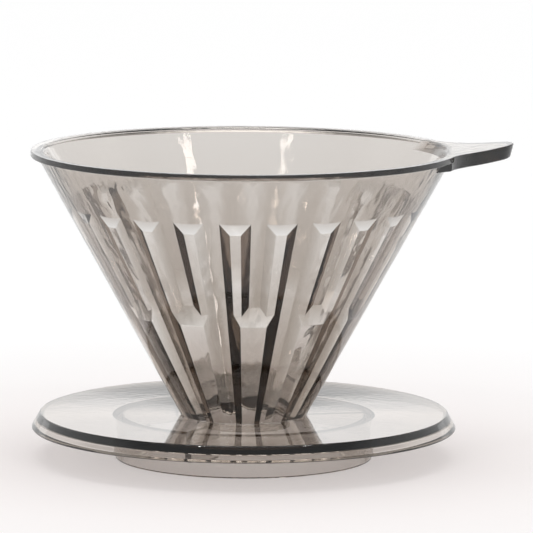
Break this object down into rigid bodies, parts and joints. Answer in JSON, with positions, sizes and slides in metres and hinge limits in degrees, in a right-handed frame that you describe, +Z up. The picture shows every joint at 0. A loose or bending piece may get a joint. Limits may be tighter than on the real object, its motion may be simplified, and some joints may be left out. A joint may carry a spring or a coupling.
{
  "type": "pour over dripper",
  "caption": "Conical pour-over coffee dripper of clear smoke-tinted plastic, with crystal-cut channels inside, a flat rim handle and a removable saucer base.",
  "frame": {"origin": "on the cone's axis, in the plane of the foot of the lower ring", "axes": "+Z up along the cone's axis, +X from the axis to the tip of the handle"},
  "size_m": [0.1325, 0.117, 0.0865],
  "materials": {
    "cone_plastic": "clear, smoke-tinted, high gloss",
    "base_plastic": "clear, smoke-tinted, high gloss"
  },
  "bodies": {
    "base": {"saucer_base": "base_plastic"},
    "cone": {"brewing_cone": "cone_plastic"}
  },
  "joints": [
    {"name": "cone_lift", "type": "slide", "parent": "base", "child": "cone", "axis": [0, 0, 1], "range_m": [0, 0.03]}
  ]
}
